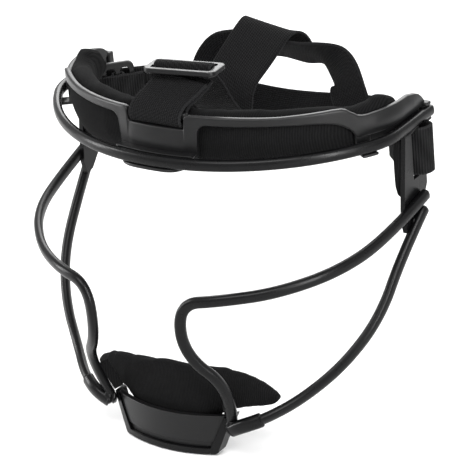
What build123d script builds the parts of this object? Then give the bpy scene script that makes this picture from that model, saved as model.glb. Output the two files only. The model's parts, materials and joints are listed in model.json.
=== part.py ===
from build123d import *

import os
from math import cos, radians, sin, tan

# Lengths are in millimetres, angles in degrees. +Z is up, the guard faces -Y, and +X is the
# wearer's left. The origin is the middle of the head opening, level with the brow bar.

# Flattened rod that the cage is bent from
rod_tall = 5.8
rod_thick = 4.6
bend_share = 0.45

# Brow bar: a wide front arc, a tight arc at each temple and a straight tail
brow_front_radius = 107.0
brow_side_radius = 35.0
brow_turn = 60.0
brow_reach = 85.0
tail_reach = 20.0
chin_drop = 152.4

# Temple plates
plate_thick = 2.5
plate_inset = 0.6
plate_span = 23.0
plate_drop = 54.0
plate_rear = 10.5
slot_tall = 26.0
slot_long = 8.7
rail_wide = 4.0

# Temple pads
temple_pad_thick = 4.5
temple_pad_long = 8.5
temple_pad_tall = 33.0
temple_pad_round = 3.5

# Brow shell
shell_inset = 2.7
shell_side_more = 7.0
shell_setback = 7.5
shell_wall = 3.0
shell_tall = 22.0
shell_side_low = 3.4
rim_tall = 5.5
tip_reach = 16.0
panel_half = 22.5
window_inset = 12.0
window_round = 5.0
notch_half = 16.4
notch_floor = 14.4
cross_bar_low = 17.6
cross_bar_tall = 4.0
cross_bar_deep = 3.0
cross_bar_setback = 2.3
hook_half = 16.8
hook_thick = 1.6
hook_reach = 2.4
hook_gap = 0.15
seat_gap = 0.3
lip_drop = 1.0
clip_wide = 8.0
clip_turn = 57.8
side_gap = 1.25
bracket_end = 19.2
bracket_long = 4.7

# Brow pad
pad_gap = 1.2
pad_foam_thick = 8.6
pad_skin = 1.3
pad_top = 23.0
tape_thick = 1.0
tape_tall = 12.0
tape_half = 15.0
tape_gap = 0.1
side_tape_share = -0.20
strap_recess = 8.8

# Webbing, its slide buckles and its stitching
front_web = 30.0
side_web = 25.0
web_thick = 1.6
web_gap = 0.25
buckle_thick = 2.6
buckle_long = 17.6
buckle_rail = 2.6
buckle_post = 3.2
buckle_corner = 3.6
buckle_inner = 1.6
buckle_edge = 0.7
web_play = 1.5
bar_sag = 1.1
front_buckle_side = 1.4
front_buckle_setback = 35.1
front_buckle_high = 34.3
front_buckle_yaw = 10.0
front_buckle_pitch = -5.0
temple_buckle_inset = 6.05
temple_buckle_deep = 4.1
temple_buckle_turn = 43.0
tail_long = 22.0
split_gap = 0.3
split_inset = 23.35
nape_reach = 36.9
thread_thick = 0.5
stitch_count = 6
patch_share = 0.65
stitch_share = 0.35
thread_long = 2.4
thread_gap = 0.1

# Chin
chin_half_share = 0.3616
chin_taper = 7.7
chin_reach = 11.5
chin_sag = 9.82
chin_tall = 20.5
chin_lift = 19.2
chin_wall = 2.6
rim_deep = 6.5
rim_wide = 3.2
chin_recess = 0.9
fold_share = 0.32
sleeve_wall = 0.7
chin_pad_half_share = 0.5958
chin_pad_sag = 19.5
chin_pad_setback = 6.5
chin_pad_thick = 9.0
chin_pad_lift = 26.2
chin_pad_tall = 42.5
chin_skin = 1.3
wing_wide = 5.2
rim_round = 2.0
rim_gap = 0.1
plate_lip = 0.8
fold_step = 0.7

# Places worked out from the sizes above
overrun = 5.0
sides = {"left": 1, "right": -1}
half_width = (brow_front_radius - brow_side_radius) * sin(radians(brow_turn)) + brow_side_radius
front_centre_y = brow_front_radius - brow_reach
plate_x = half_width - plate_inset
shell_front_y = shell_setback - brow_reach
strap_mid_z = -rod_tall / 2 - slot_tall / 2
split_x = half_width - split_inset
shell_front_radius = brow_front_radius - shell_inset
shell_side_radius = brow_side_radius + shell_side_more
shell_centre_y = shell_front_y + shell_front_radius
window_half = half_width - window_inset
panel_drop = rod_tall / 2 + hook_gap + hook_thick
temple_buckle_wide = half_width - temple_buckle_inset
chin_half = chin_half_share * half_width
chin_low_half = chin_half - chin_taper
chin_radius = (chin_half**2 + chin_sag**2) / (2 * chin_sag)
chin_pad_half = chin_pad_half_share * half_width
chin_front = brow_reach + chin_reach
chin_top = chin_drop - chin_lift
chin_pad_front = chin_front - chin_pad_setback
chin_pad_top = chin_top - chin_pad_lift
chin_pad_low = chin_pad_top + chin_pad_tall


def unit_across(along, across):
    """The direction nearest to across that is square to along."""
    return (across - along * across.dot(along)).normalized()


def section_plane(point, along, across):
    """A plane square to a path, with its X along the given width direction."""
    along = Vector(*along).normalized()
    return Plane(origin=point, x_dir=unit_across(along, Vector(*across)), z_dir=along)


def bend_radii(points):
    """One arc radius for each corner of a route, as large as its two runs allow."""
    radii = []
    for before, corner, after in zip(points, points[1:], points[2:]):
        run_in = corner - before
        run_out = after - corner
        half_turn = radians(run_in.get_angle(run_out)) / 2
        radii.append(bend_share * min(run_in.length, run_out.length) / tan(half_turn))
    return radii


def cage_route(shares, side):
    """Points of a bar, from shares of the half width, the brow reach and the chin drop."""
    return [
        Vector(side * across * half_width, deep * brow_reach, -down * chin_drop)
        for across, deep, down in shares
    ]


def rod(points, tall=rod_tall, thick=rod_thick):
    """Sweeps the flattened rod along a route of straight runs and tangent arcs."""
    with BuildLine() as path:
        FilletPolyline(*points, radius=bend_radii(points))
    with BuildSketch(section_plane(points[0], points[1] - points[0], (0, 0, 1))) as section:
        SlotOverall(tall, thick)
    sweep(sections=section.sketch, path=path.line)


def brow_line(
    inset=0, tail=tail_reach, front=brow_front_radius, side=brow_side_radius, centre=front_centre_y
):
    """Plan curve of the brow: tail, temple arc, front arc, temple arc and tail."""
    across = (front - side) * sin(radians(brow_turn))
    deep = centre - (front - side) * cos(radians(brow_turn))
    wide = across + side - inset
    Line((wide, tail), (wide, deep))
    CenterArc((across, deep), side - inset, 0, brow_turn - 90)
    CenterArc((0, centre), front - inset, brow_turn - 90, -2 * brow_turn)
    CenterArc((-across, deep), side - inset, -90 - brow_turn, brow_turn - 90)
    Line((-wide, deep), (-wide, tail))


def brow_band(outer_inset, inner_inset, tail):
    """Plan area of a band that follows the shell's outer curve between two insets."""
    with BuildLine() as outline:
        brow_line(outer_inset, tail, shell_front_radius, shell_side_radius, shell_centre_y)
        brow_line(inner_inset, tail, shell_front_radius, shell_side_radius, shell_centre_y)
        wide = (shell_front_radius - shell_side_radius) * sin(radians(brow_turn)) + shell_side_radius
        for hand in sides.values():
            Line((hand * (wide - outer_inset), tail), (hand * (wide - inner_inset), tail))
    make_face(outline.line.edges())


def web_band(centres, widths, wide, thick=web_thick):
    """A flat strap through the given centres, with a width direction at each of them."""
    centres = [Vector(*centre) for centre in centres]
    sections = []
    for number, (centre, across) in enumerate(zip(centres, widths)):
        before = centres[max(number - 1, 0)]
        after = centres[min(number + 1, len(centres) - 1)]
        with BuildSketch(section_plane(centre, after - before, across)) as section:
            Rectangle(wide, thick)
        sections.append(section.sketch)
    for start, end in zip(sections, sections[1:]):
        loft(sections=[start, end], ruled=True)


def write(part, name):
    """Labels a finished piece and writes it as its own file."""
    part.part.label = name
    export_step(part.part, f"parts/{name}.step")


os.makedirs("parts", exist_ok=True)

# Brow bar
with BuildPart() as brow_bar:
    with BuildLine() as brow_path:
        brow_line()
    with BuildSketch(section_plane((half_width, tail_reach, 0), (0, -1, 0), (0, 0, 1))):
        SlotOverall(rod_tall, rod_thick)
    sweep(path=brow_path.line)
write(brow_bar, "brow_bar")

# Cheek bars and jaw bars: shares of the half width, the brow reach and the chin drop
cheek_route_shares = (
    (1.034, 0.062, 0.252),
    (1.010, -0.365, 0.311),
    (0.924, -0.750, 0.344),
    (0.718, -1.050, 0.369),
    (0.490, -1.230, 0.378),
    (0.276, -1.290, 0.398),
    (0.268, -1.282, 0.582),
    (0.444, -1.120, 0.730),
    (0.374, -1.040, 0.884),
)
jaw_route_shares = (
    (1.036, 0.026, 0.292),
    (1.006, -0.216, 0.414),
    (0.985, -0.455, 0.574),
    (0.870, -0.664, 0.703),
    (0.702, -0.836, 0.804),
    (0.564, -0.996, 0.852),
    (0.434, -1.076, 0.882),
    (0.368, -1.052, 0.908),
)
sleeve_run_share = 0.76
cage_bars = {}
for side_name, hand in sides.items():
    cheek_points = cage_route(cheek_route_shares, hand)
    with BuildPart() as cheek_bar:
        rod(cheek_points)
    write(cheek_bar, f"cheek_bar_{side_name}")

    jaw_points = cage_route(jaw_route_shares, hand)
    with BuildPart() as jaw_bar:
        rod(jaw_points)
        add(cheek_bar.part, mode=Mode.SUBTRACT)
    write(jaw_bar, f"jaw_bar_{side_name}")

    sleeve_start = jaw_points[-3] + (jaw_points[-4] - jaw_points[-3]) * sleeve_run_share
    with BuildPart() as jaw_sleeve:
        rod([sleeve_start, *jaw_points[-3:]], rod_tall + 2 * sleeve_wall, rod_thick + 2 * sleeve_wall)
        for bar in (jaw_bar, cheek_bar):
            add(bar.part, mode=Mode.SUBTRACT)
    write(jaw_sleeve, f"jaw_sleeve_{side_name}")
    cage_bars[side_name] = (cheek_bar, jaw_bar, jaw_sleeve)

# Temple plates: shares of the plate's span and drop, from its rear edge at the brow bar. Seats
# for the welded bars are cut in them.
plate_outline_shares = (
    (0.00, 0.00),
    (-0.80, 0.00),
    (-0.98, 0.60),
    (-1.04, 0.85),
    (-0.96, 1.00),
    (-0.74, 0.97),
    (-0.46, 0.83),
    (-0.12, 0.73),
    (0.00, 0.64),
)
for side_name, hand in sides.items():
    plate_plane = Plane(origin=(hand * plate_x, 0, 0), x_dir=(0, 1, 0), z_dir=(1, 0, 0))
    slot_y = plate_rear - rail_wide - slot_long / 2
    plate_tall = plate_drop - rod_tall / 2
    with BuildPart() as temple_plate:
        with BuildSketch(plate_plane) as plate_sketch:
            with BuildLine():
                Polyline(
                    *[
                        (plate_rear + deep * plate_span, -rod_tall / 2 - down * plate_tall)
                        for deep, down in plate_outline_shares
                    ],
                    close=True,
                )
            make_face()
            with Locations((slot_y, strap_mid_z)):
                Rectangle(slot_long, slot_tall, mode=Mode.SUBTRACT)
        extrude(amount=plate_thick / 2, both=True)
        for bar in (brow_bar, *cage_bars[side_name]):
            add(bar.part, mode=Mode.SUBTRACT)
    write(temple_plate, f"temple_plate_{side_name}")

    pad_x = hand * (plate_x - plate_thick / 2 - temple_pad_thick / 2)
    pad_y = slot_y - slot_long / 2 - temple_pad_long / 2 - web_gap
    with BuildPart() as temple_pad:
        with BuildSketch(Plane(origin=(pad_x, 0, 0), x_dir=(0, 1, 0), z_dir=(1, 0, 0))):
            with Locations((pad_y, -rod_tall / 2 - web_thick - temple_pad_tall / 2)):
                RectangleRounded(temple_pad_long, temple_pad_tall, temple_pad_round)
        extrude(amount=temple_pad_thick / 2, both=True)
        fillet(temple_pad.edges().filter_by(Axis.X, reverse=True), temple_pad_thick / 4)
    write(temple_pad, f"temple_pad_{side_name}")

# Brow shell: a band round the brow, trimmed to its side profile, with windows and a notch
shell_top_shares = (
    (-1.200, 1.000),
    (-0.900, 0.985),
    (-0.700, 0.905),
    (-0.437, 0.886),
    (-0.409, 0.805),
    (-0.364, 0.664),
    (-0.311, 0.632),
    (-0.170, 0.650),
)
tip_top_shares = ((0.090, 0.641), (0.494, 0.564), (0.880, 0.409), (1.000, 0.250), (1.000, -0.300))
side_front_share = 0.49
side_lip_share = -0.34
window_top = shell_tall - rim_tall
window_end_shares = ((0.680, 0.955), (0.840, 0.885), (0.935, 0.764), (0.985, 0.545), (1.000, 0.350))
with BuildPart() as brow_shell:
    with BuildSketch(Plane.XY.offset(-panel_drop)):
        brow_band(0, shell_wall, tip_reach)
    extrude(amount=shell_tall + panel_drop)
    # Everything above the side profile comes off
    with BuildSketch(Plane(origin=(0, 0, 0), x_dir=(0, 1, 0), z_dir=(1, 0, 0))):
        with BuildLine():
            Polyline(
                *[(deep * brow_reach, high * shell_tall) for deep, high in shell_top_shares],
                *[(deep * tip_reach, high * shell_tall) for deep, high in tip_top_shares],
                (brow_reach, tip_top_shares[-1][1] * shell_tall),
                (brow_reach, 2 * shell_tall),
                (shell_top_shares[0][0] * brow_reach, 2 * shell_tall),
                close=True,
            )
        make_face()
    extrude(amount=2 * half_width, both=True, mode=Mode.SUBTRACT)
    # Below the side plates the band is open, so that they stand on the brow bar
    with BuildSketch(Plane.XY.offset(-panel_drop - overrun)):
        Rectangle(4 * half_width, side_front_share * 2 * brow_reach)
    extrude(amount=panel_drop + overrun + shell_side_low, mode=Mode.SUBTRACT)
    # Windows
    for hand in sides.values():
        with BuildSketch(Plane.XZ):
            with BuildLine():
                Polyline(
                    (hand * panel_half, -shell_tall),
                    (hand * panel_half, window_top),
                    *[(hand * across * window_half, high * window_top) for across, high in window_end_shares],
                    (hand * window_half, -shell_tall),
                    close=True,
                )
            make_face()
            fillet(vertices().group_by(Axis.Y)[-1], window_round)
        extrude(amount=2 * brow_reach, mode=Mode.SUBTRACT)
    # Strap notch in the middle panel
    with BuildSketch(Plane.XZ):
        with Locations((0, notch_floor + shell_tall)):
            Rectangle(2 * notch_half, 2 * shell_tall)
    extrude(amount=2 * brow_reach, mode=Mode.SUBTRACT)
    # Recessed cross bar that the strap passes under
    with BuildSketch(Plane.XY.offset(cross_bar_low)):
        brow_band(cross_bar_setback, cross_bar_setback + cross_bar_deep, tip_reach)
        with Locations((0, -brow_reach)):
            Rectangle(2 * (notch_half + shell_wall / 2), 2 * brow_reach, mode=Mode.INTERSECT)
    extrude(amount=cross_bar_tall)
    # Middle hook under the brow bar
    with BuildSketch(Plane.XY.offset(-rod_tall / 2 - hook_gap - hook_thick)):
        brow_band(-shell_setback - hook_reach, shell_wall, tip_reach)
        with Locations((0, -brow_reach)):
            Rectangle(2 * hook_half, 2 * brow_reach, mode=Mode.INTERSECT)
    extrude(amount=hook_thick)
    # Ledge from the middle panel to the back of the brow bar
    with BuildSketch(Plane.XY.offset(rod_tall / 2 - hook_thick)):
        brow_band(seat_gap + rod_thick / 2 - shell_setback, shell_wall, tip_reach)
        with Locations((0, -brow_reach)):
            Rectangle(2 * panel_half, 2 * brow_reach, mode=Mode.INTERSECT)
    extrude(amount=hook_thick)
    # Lips that reach down inside the brow bar along the side plates
    with BuildSketch(Plane.XY.offset(-lip_drop)):
        brow_band(side_gap, shell_wall, bracket_end - bracket_long)
        with Locations((0, brow_reach / 2 + side_lip_share * brow_reach)):
            Rectangle(4 * half_width, brow_reach, mode=Mode.INTERSECT)
    extrude(amount=lip_drop + shell_side_low)
    # Lips under the brow bar at the front end of each side plate
    for hand in sides.values():
        clip_place = (
            hand * shell_front_radius * sin(radians(clip_turn)),
            shell_centre_y - shell_front_radius * cos(radians(clip_turn)),
        )
        for low, high, inner, outer in (
            (-rod_tall / 2 - hook_gap - hook_thick, shell_side_low, shell_wall, hook_gap),
            (-rod_tall / 2 - hook_gap - hook_thick, -rod_tall / 2 - hook_gap, shell_wall, -shell_setback),
        ):
            with BuildSketch(Plane.XY.offset(low)):
                brow_band(outer, inner, tip_reach)
                with Locations(Location(clip_place, hand * clip_turn)):
                    Rectangle(clip_wide, clip_wide, mode=Mode.INTERSECT)
            extrude(amount=high - low)
    # Brackets that hold the ends of the brow bar
    bracket_faces = (
        (-rod_tall / 2 - hook_gap - hook_thick, shell_side_low + hook_thick, shell_wall, side_gap),
        (-rod_tall / 2 - hook_gap - hook_thick, -rod_tall / 2 - hook_gap, shell_wall, -hook_reach),
        (rod_tall / 2 + hook_gap, shell_side_low + hook_thick, shell_wall, -hook_reach),
    )
    for low, high, inner, outer in bracket_faces:
        with BuildSketch(Plane.XY.offset(low)):
            brow_band(outer, inner, bracket_end)
            with Locations((0, bracket_end - bracket_long / 2)):
                Rectangle(4 * half_width, bracket_long, mode=Mode.INTERSECT)
        extrude(amount=high - low)
write(brow_shell, "brow_shell")

# Brow pad: facing, foam and lining, with a recess for the strap behind the cross bar
pad_layers = {
    "brow_pad_facing": (0, pad_skin),
    "brow_pad_foam": (pad_skin, pad_skin + pad_foam_thick),
    "brow_pad_lining": (pad_skin + pad_foam_thick, 2 * pad_skin + pad_foam_thick),
}
pad_profile_shares = (
    (-1.200, 1.000),
    (-0.600, 0.960),
    (-0.360, 0.800),
    (-0.220, 0.845),
    (-0.145, 0.855),
    (-0.060, 0.780),
    (-0.005, 0.600),
    (0.028, 0.350),
    (0.030, 0.050),
    (0.010, -0.100),
    (-0.240, -0.160),
    (-0.500, -0.360),
    (-1.200, -0.340),
)
pad_outer = shell_wall + pad_gap
for name, (outer, inner) in pad_layers.items():
    with BuildPart() as brow_pad_layer:
        with BuildSketch(Plane.XY.offset(-pad_top)):
            brow_band(pad_outer + outer, pad_outer + inner, tip_reach)
        extrude(amount=2 * pad_top)
        with BuildSketch(Plane.YZ):
            with BuildLine():
                Polyline(
                    *[(deep * brow_reach, high * pad_top) for deep, high in pad_profile_shares],
                    close=True,
                )
            make_face()
        extrude(amount=2 * half_width, both=True, mode=Mode.INTERSECT)
        with BuildSketch(Plane.XY.offset(notch_floor - web_thick / 2)):
            brow_band(0, strap_recess, tip_reach)
            with Locations((0, -brow_reach)):
                Rectangle(2 * (notch_half + shell_wall), 2 * brow_reach, mode=Mode.INTERSECT)
        extrude(amount=pad_top, mode=Mode.SUBTRACT)
    write(brow_pad_layer, name)

# Hook tape between the shell and the brow pad
with BuildPart() as brow_hook_tape:
    with BuildSketch(Plane.XY):
        brow_band(shell_wall + tape_gap, shell_wall + tape_gap + tape_thick, tip_reach)
        tape_spots = Rectangle(4 * half_width, tape_half, mode=Mode.PRIVATE).moved(
            Location((0, side_tape_share * brow_reach))
        ) + Rectangle(2 * tape_half, brow_reach, mode=Mode.PRIVATE).moved(Location((0, -brow_reach)))
        add(tape_spots, mode=Mode.INTERSECT)
    extrude(amount=tape_tall)
    with Locations((0, 0, shell_side_low + tape_gap)):
        Box(4 * half_width, 2 * brow_reach, tape_tall, align=(Align.CENTER, Align.CENTER, Align.MIN),
            mode=Mode.INTERSECT)
write(brow_hook_tape, "brow_hook_tape")

# Chin plate and its steel rim, both cut from bands round the chin to a tapered outline
chin_outline = (
    (chin_half, -chin_top),
    (chin_low_half, -chin_top - chin_tall),
    (-chin_low_half, -chin_top - chin_tall),
    (-chin_half, -chin_top),
)


def chin_band(front, radius, outer, inner, low, high):
    """A band round the chin between two insets, from a low to a high level."""
    with BuildSketch(Plane.XY.offset(low)) as area:
        with Locations((0, radius - front)):
            Circle(radius - outer)
            Circle(radius - inner, mode=Mode.SUBTRACT)
        with Locations((0, -front)):
            Rectangle(4 * radius, radius, mode=Mode.INTERSECT)
    extrude(area.sketch, amount=high - low)


with BuildPart() as chin_rim:
    chin_band(chin_front, chin_radius, 0, rim_deep, -chin_top - chin_tall - overrun, -chin_top + overrun)
    with BuildSketch(Plane.XZ) as rim_outline:
        Polygon(*chin_outline, align=None)
        fillet(vertices().group_by(Axis.Y)[0], rim_round)
        Polygon(
            (chin_half - rim_wide, -chin_top + overrun),
            (chin_half - rim_wide, -chin_top),
            (chin_low_half - rim_wide, -chin_top - chin_tall + rim_wide),
            (-chin_low_half + rim_wide, -chin_top - chin_tall + rim_wide),
            (-chin_half + rim_wide, -chin_top),
            (-chin_half + rim_wide, -chin_top + overrun),
            align=None,
            mode=Mode.SUBTRACT,
        )
    extrude(amount=2 * chin_front, mode=Mode.INTERSECT)
    for bars in cage_bars.values():
        for bar in bars:
            add(bar.part, mode=Mode.SUBTRACT)
write(chin_rim, "chin_rim")

with BuildPart() as chin_plate:
    chin_band(chin_front, chin_radius, chin_recess, chin_recess + chin_wall,
              -chin_top - chin_tall, -chin_top + plate_lip)
    with BuildSketch(Plane.XZ):
        Polygon(
            (chin_half - rim_wide - rim_gap, -chin_top + plate_lip),
            (chin_half - rim_wide - rim_gap, -chin_top),
            (chin_low_half - rim_wide - rim_gap, -chin_top - chin_tall + rim_wide + rim_gap),
            (-chin_low_half + rim_wide + rim_gap, -chin_top - chin_tall + rim_wide + rim_gap),
            (-chin_half + rim_wide + rim_gap, -chin_top),
            (-chin_half + rim_wide + rim_gap, -chin_top + plate_lip),
            align=None,
        )
    extrude(amount=2 * chin_front, mode=Mode.INTERSECT)
    # The lower part of the face steps back behind a fold line
    with BuildSketch(Plane.XY.offset(-chin_top - chin_tall)):
        with Locations((0, chin_radius - chin_front)):
            Circle(chin_radius)
            Circle(chin_radius - chin_recess - fold_step, mode=Mode.SUBTRACT)
    extrude(amount=fold_share * chin_tall, mode=Mode.SUBTRACT)
write(chin_plate, "chin_plate")

# Chin pad: a curved cushion behind the plate, deep in the middle and narrow at its tips
chin_pad_radius = (chin_pad_half**2 + chin_pad_sag**2) / (2 * chin_pad_sag)
chin_pad_shares = (
    (0.00, 0.00),
    (0.55, 0.02),
    (0.78, 0.12),
    (0.94, 0.30),
    (1.00, 0.46),
    (0.96, 0.50),
    (0.78, 0.54),
    (0.52, 0.62),
    (0.40, 0.82),
    (0.00, 1.00),
)
chin_pad_layers = {
    "chin_pad_facing": (0, chin_skin),
    "chin_pad_foam": (chin_skin, chin_pad_thick - chin_skin),
    "chin_pad_lining": (chin_pad_thick - chin_skin, chin_pad_thick),
}
for name, (outer, inner) in chin_pad_layers.items():
    with BuildPart() as chin_pad_layer:
        chin_band(chin_pad_front, chin_pad_radius, outer, inner, -chin_pad_low, -chin_pad_top)
        with BuildSketch(Plane.XZ):
            with BuildLine():
                Polyline(
                    *[
                        (side * across * chin_pad_half, -chin_pad_top - down * (chin_pad_low - chin_pad_top))
                        for side in (1, -1)
                        for across, down in chin_pad_shares[:: side]
                        if across or side > 0
                    ],
                    close=True,
                )
            make_face()
        extrude(amount=2 * chin_front, mode=Mode.INTERSECT)
    write(chin_pad_layer, name)

# Hook tape between the chin plate and the chin pad, and the pad's wings behind the cheek bars
with BuildPart() as chin_hook_tape:
    with BuildSketch(Plane.XY.offset(-chin_top - chin_tall + rim_wide + rim_wide)):
        with Locations((0, chin_radius - chin_front)):
            Circle(chin_radius - chin_recess - chin_wall)
        with Locations((0, chin_pad_radius - chin_pad_front)):
            Circle(chin_pad_radius, mode=Mode.SUBTRACT)
        with Locations((0, -chin_front)):
            Rectangle(2 * tape_half, chin_front, mode=Mode.INTERSECT)
    extrude(amount=tape_tall)
write(chin_hook_tape, "chin_hook_tape")

wing_shift_shares = (-0.058, 0.030)
wing_run_shares = (0.12, 0.50, 0.80)
for side_name, hand in sides.items():
    cheek_points = cage_route(cheek_route_shares, hand)
    shift = Vector(hand * wing_shift_shares[0] * half_width, wing_shift_shares[1] * brow_reach, 0)
    wing_top, wing_low = cheek_points[-2] + shift, cheek_points[-1] + shift
    with BuildPart() as chin_wing:
        web_band(
            [wing_top + (wing_low - wing_top) * run for run in wing_run_shares],
            [(hand, -1, 0)] * len(wing_run_shares),
            wing_wide,
        )
    write(chin_wing, f"chin_wing_{side_name}")


# Slide buckles
def buckle(plane, name):
    """A flat frame with two slots and a middle bar, on a plane whose X is the strap's width."""
    with BuildPart() as frame:
        with BuildSketch(plane):
            RectangleRounded(front_web + web_play + 2 * buckle_post, buckle_long, buckle_corner)
            slot_wide = (buckle_long - 3 * buckle_rail) / 2
            with GridLocations(0, slot_wide + buckle_rail, 1, 2):
                RectangleRounded(front_web + web_play, slot_wide, buckle_inner, mode=Mode.SUBTRACT)
        extrude(amount=buckle_thick / 2, both=True)
        outward = Axis(plane.origin, plane.z_dir)
        for end in (-1, 0):
            fillet(frame.faces().sort_by(outward)[end].outer_wire().edges(), buckle_edge)
    write(frame, name)


def buckle_turn(plane, name, wide, drop):
    """The webbing that comes up through one slot, over the middle bar and down the other."""
    beside = buckle_rail / 2 + web_gap + web_thick / 2
    above = buckle_thick / 2 + web_gap + web_thick / 2
    along, up = plane.y_dir, plane.z_dir
    steps = (
        (-beside, -drop),
        (-beside, above - web_thick),
        (-beside + web_thick / 2, above),
        (beside - web_thick / 2, above),
        (beside, above - web_thick),
        (beside, -drop),
    )
    with BuildPart() as turn:
        web_band(
            [plane.origin + along * run + up * rise for run, rise in steps],
            [plane.x_dir] * len(steps),
            wide,
        )
    write(turn, name)
    return steps


front_yaw, front_pitch = radians(front_buckle_yaw), radians(front_buckle_pitch)
front_across = Vector(cos(front_yaw), sin(front_yaw), 0)
front_along = Vector(-sin(front_yaw) * cos(front_pitch), cos(front_yaw) * cos(front_pitch), sin(front_pitch))
front_plane = Plane(
    origin=(front_buckle_side, front_buckle_setback - brow_reach, front_buckle_high),
    x_dir=front_across,
    z_dir=front_across.cross(front_along),
)
turn_drop = buckle_thick / 2 + web_thick
buckle(front_plane, "front_buckle")
front_steps = buckle_turn(front_plane, "front_buckle_turn", front_web, turn_drop)

# Front loop: down from the buckle, under the recessed cross bar and up again behind it
loop_front_y = shell_front_y + cross_bar_setback - web_gap - web_thick / 2
loop_back_y = shell_front_y + cross_bar_setback + cross_bar_deep + bar_sag + web_gap + web_thick / 2
loop_low_z = notch_floor + web_gap + web_thick / 2
loop_top_z = cross_bar_low + cross_bar_tall
front_top = front_plane.origin + front_plane.y_dir * front_steps[0][0]
back_top = front_plane.origin + front_plane.y_dir * front_steps[-1][0]
front_top -= front_plane.z_dir * (turn_drop + web_thick)
back_top -= front_plane.z_dir * (turn_drop + web_thick)
level = Vector(1, 0, 0)
with BuildPart() as front_loop:
    web_band(
        [
            front_top,
            front_top + (Vector(0, loop_front_y, loop_top_z) - front_top) * 0.5,
            (0, loop_front_y + web_thick, loop_top_z + web_thick),
            (0, loop_front_y, loop_top_z),
            (0, loop_front_y, loop_low_z + web_thick),
            (0, loop_front_y + web_thick, loop_low_z),
            (0, loop_back_y - web_thick, loop_low_z),
            (0, loop_back_y, loop_low_z + web_thick),
            (0, loop_back_y, loop_top_z),
            (0, loop_back_y + web_thick, loop_top_z + web_thick),
            back_top + (Vector(0, loop_back_y, loop_top_z) - back_top) * 0.5,
            back_top,
        ],
        [front_across, front_across + level, *[level] * 8, front_across + level, front_across],
        front_web,
    )
write(front_loop, "front_loop")

# Top strap: the slack ribbon. In front, shares of the brow reach and the shell's height; behind,
# shares of the half width, the nape's reach and the shell's height, and the ribbon's width direction
top_strap_shares = (
    (-0.43, 1.10),
    (-0.32, 0.46),
    (-0.24, 0.02),
    (-0.17, -0.22),
    (-0.12, -0.08),
    (-0.10, 0.24),
    (-0.08, 0.60),
    (-0.02, 0.82),
)
top_strap_rear_shares = (
    (0.000, 0.230, 0.95, (1.00, 0.00, 0.00)),
    (-0.010, 0.650, 1.15, (0.98, 0.10, -0.15)),
    (-0.030, 0.894, 1.18, (0.95, 0.18, -0.26)),
    (-0.040, 1.085, 1.00, (0.93, 0.22, -0.28)),
    (-0.020, 1.240, 0.74, (0.97, 0.12, -0.18)),
    (-0.010, 1.315, 0.51, (0.98, 0.08, -0.15)),
)
top_strap_start = back_top + front_plane.y_dir * 3 * web_thick
with BuildPart() as top_strap:
    web_band(
        [
            top_strap_start,
            *[(0, deep * brow_reach, high * shell_tall) for deep, high in top_strap_shares],
            *[
                (across * half_width, deep * nape_reach, high * shell_tall)
                for across, deep, high, turned in top_strap_rear_shares
            ],
        ],
        [front_across, *[level] * len(top_strap_shares), *[row[-1] for row in top_strap_rear_shares]],
        front_web - web_thick,
    )
write(top_strap, "top_strap")

# Temple loops, in plan: from a tail under the buckle, round the rear rail and back
loop_inner_shares = ((0.510, 0.130), (0.186, 0.210), (-0.149, 0.486))
loop_fold_shares = ((-0.149, 0.00), (0.092, 1.00), (0.417, 1.20))
loop_rear_shares = ((0.445, 0.449), (0.816, 0.647), (1.281, 0.840))
glide_turn = radians(temple_buckle_turn)
rail_x = plate_x + plate_thick / 2
for side_name, hand in sides.items():
    glide_along = Vector(-hand * cos(glide_turn), sin(glide_turn), 0)
    glide_out = Vector(hand * sin(glide_turn), cos(glide_turn), 0)
    glide_start = Vector(hand * temple_buckle_wide, temple_buckle_deep, strap_mid_z)
    glide_plane = Plane(
        origin=glide_start + glide_along * (buckle_long / 2), x_dir=(0, 0, 1), z_dir=glide_out
    )
    buckle(glide_plane, f"temple_buckle_{side_name}")
    buckle_turn(glide_plane, f"temple_buckle_turn_{side_name}", side_web, buckle_thick / 2)

    tail_offset = glide_out * -(buckle_thick / 2 + web_gap + web_thick / 2)
    tail_start = glide_start + tail_offset
    loop_points = [tail_start + glide_along * tail_long, tail_start]
    loop_points += [
        Vector(hand * (rail_x - inward * plate_rear), deep * plate_rear, 0)
        for inward, deep in loop_inner_shares
    ]
    loop_points += [
        Vector(hand * (rail_x - inward * plate_rear), plate_rear + web_gap + behind * web_thick, 0)
        for inward, behind in loop_fold_shares
    ]
    loop_points += [
        Vector(hand * (rail_x - inward * split_inset), deep * nape_reach, 0)
        for inward, deep in loop_rear_shares
    ]
    loop_points = [Vector(point.X, point.Y, 0) for point in loop_points]
    with BuildPart() as temple_loop:
        with BuildSketch(Plane.XY.offset(strap_mid_z - side_web / 2)):
            with BuildLine():
                FilletPolyline(*loop_points, radius=bend_radii(loop_points))
            trace(line_width=web_thick)
        extrude(amount=side_web)
        Box(2 * (split_x + split_gap), 4 * brow_reach, 4 * brow_reach, mode=Mode.SUBTRACT)
    write(temple_loop, f"temple_loop_{side_name}")

# Harness straps: shares of the width where they leave the loops and of the nape's reach, and
# levels in webbing widths
nape_shares = (
    (1.013, 0.726, 0.00),
    (0.895, 0.840, -0.02),
    (0.737, 0.921, -0.05),
    (0.539, 0.963, -0.12),
    (0.276, 0.990, -0.21),
    (0.000, 1.000, -0.25),
)
nape_centres = [
    (side * across * split_x, deep * nape_reach, strap_mid_z + high * side_web)
    for side in (1, -1)
    for across, deep, high in nape_shares[::side]
    if across or side > 0
]
with BuildPart() as nape_strap:
    web_band(nape_centres, [(0, 0, 1)] * len(nape_centres), side_web)
    Box(2 * split_x, 4 * brow_reach, 4 * brow_reach, mode=Mode.INTERSECT)
write(nape_strap, "nape_strap")

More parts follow.
